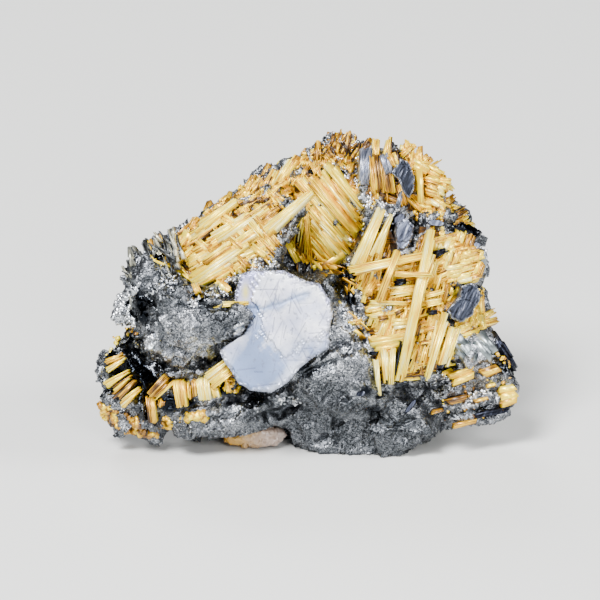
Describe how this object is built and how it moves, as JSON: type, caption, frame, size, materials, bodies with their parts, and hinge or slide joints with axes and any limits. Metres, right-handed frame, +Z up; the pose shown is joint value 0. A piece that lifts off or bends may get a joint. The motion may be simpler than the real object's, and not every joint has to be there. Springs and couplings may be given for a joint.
{
  "type": "rutile crystal cluster",
  "caption": "Mineral specimen: golden rutile laths in crossed lattices on rough grey hematite, with a silvery hematite plate in front; rests on its flat underside.",
  "frame": {"origin": "on the resting plane, under the middle of the specimen's box", "axes": "+Z up from the resting plane, +X to the viewer's right along the longest side, -Y towards the viewer, the side with the silver plate"},
  "size_m": [0.0426, 0.0243, 0.0307],
  "materials": {
    "hematite_grey": "granular specular hematite, grey with bright sparkling flakes",
    "hematite_silver": "smooth silver crystal face with fine scratches and a blue tarnish",
    "hematite_dark": "mirror-dark blue-grey crystal face",
    "rutile": "silky golden laths, finely striated along their length",
    "quartz": "clouded pinkish translucent"
  },
  "bodies": {
    "root": {"hematite_matrix": "hematite_grey", "hematite_plate": "hematite_silver", "hematite_plate_right": "hematite_dark", "hematite_blade_top": "hematite_dark", "hematite_disc": "hematite_dark", "rutile_lattice_left": "rutile", "rutile_ridge": "rutile", "rutile_hollow": "rutile", "rutile_crest": "rutile", "rutile_shoulder": "rutile", "rutile_lattice_right": "rutile", "rutile_right_slope": "rutile", "rutile_comb": "rutile", "rutile_spray": "rutile", "rutile_wing": "rutile", "rutile_back": "rutile", "quartz_chip": "quartz"}
  },
  "joints": []
}
